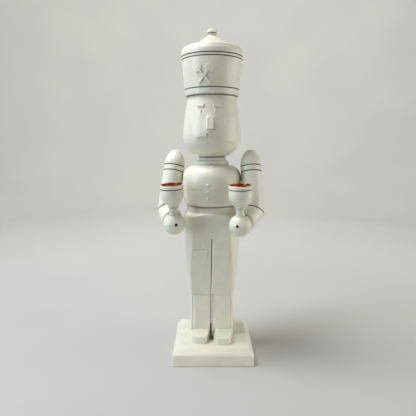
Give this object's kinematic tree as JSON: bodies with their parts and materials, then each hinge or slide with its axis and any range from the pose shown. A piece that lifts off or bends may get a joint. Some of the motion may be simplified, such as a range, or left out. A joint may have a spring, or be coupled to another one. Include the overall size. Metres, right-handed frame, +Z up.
{
  "type": "nutcracker figure",
  "caption": "Turned wooden standing figure in the nutcracker style, in a tall hat, holding a candle cup in each hand, on a square bevelled base.",
  "frame": {"origin": "centre of the base plate's underside, on the surface that the figure stands on", "axes": "+Z up along the figure's axis, the figure faces -Y, its own left side is at +X"},
  "size_m": [0.1325, 0.1139, 0.4072],
  "materials": {
    "painted_wood": "eggshell off-white paint on turned wood, thin dark cut lines",
    "bare_wood": "unfinished beech",
    "copper": "bright copper, slightly tarnished",
    "steel": "zinc plated"
  },
  "bodies": {
    "stand": {"base_plate": "painted_wood", "base_screws": "steel", "shoe_left": "painted_wood", "shoe_right": "painted_wood", "lower_leg_left": "painted_wood", "lower_leg_right": "painted_wood", "leg_dowels": "bare_wood", "lower_body": "painted_wood", "knee_pad_left": "painted_wood", "knee_pad_right": "painted_wood", "waist_dowel": "bare_wood"},
    "torso": {"torso": "painted_wood", "coat_buttons": "painted_wood", "shoulder_dowel_left": "bare_wood", "shoulder_dowel_right": "bare_wood", "neck_dowel": "bare_wood"},
    "head": {"head": "painted_wood", "eyebrows": "painted_wood", "eyes": "painted_wood", "nose": "painted_wood", "moustache": "painted_wood", "hat_dowel": "bare_wood"},
    "hat": {"hat": "painted_wood", "hat_emblem": "painted_wood", "hat_finial": "painted_wood"},
    "arm_left": {"upper_arm_left": "painted_wood", "elbow_dowel_left": "bare_wood", "forearm_left": "painted_wood", "wrist_dowel_left": "bare_wood", "hand_left": "painted_wood", "candle_cup_left": "painted_wood"},
    "insert_left": {"cup_insert_left": "copper"},
    "arm_right": {"upper_arm_right": "painted_wood", "elbow_dowel_right": "bare_wood", "forearm_right": "painted_wood", "wrist_dowel_right": "bare_wood", "hand_right": "painted_wood", "candle_cup_right": "painted_wood"},
    "insert_right": {"cup_insert_right": "copper"}
  },
  "joints": [
    {"name": "waist_turn", "type": "hinge", "parent": "stand", "child": "torso", "pos_m": [-0.0015, 0, 0.1942], "axis": [0, 0, 1], "continuous": true},
    {"name": "head_turn", "type": "hinge", "parent": "torso", "child": "head", "pos_m": [-0.0015, 0, 0.2541], "axis": [0, 0, 1], "continuous": true},
    {"name": "hat_turn", "type": "hinge", "parent": "head", "child": "hat", "pos_m": [-0.0015, 0, 0.327], "axis": [0, 0, 1], "continuous": true},
    {"name": "arm_swing_left", "type": "hinge", "parent": "torso", "child": "arm_left", "pos_m": [0.04814, -0.00751, 0.228], "axis": [-0.9888, 0.1495, 0], "range_deg": [-8, 35]},
    {"name": "insert_lift_left", "type": "slide", "parent": "arm_left", "child": "insert_left", "axis": [-0.0203, -0.0763, 0.9969], "range_m": [0, 0.02]},
    {"name": "arm_swing_right", "type": "hinge", "parent": "torso", "child": "arm_right", "pos_m": [-0.05114, 0.00751, 0.228], "axis": [-0.9888, 0.1495, 0], "range_deg": [-8, 35]},
    {"name": "insert_lift_right", "type": "slide", "parent": "arm_right", "child": "insert_right", "axis": [-0.0499, -0.0982, 0.9939], "range_m": [0, 0.02]}
  ]
}
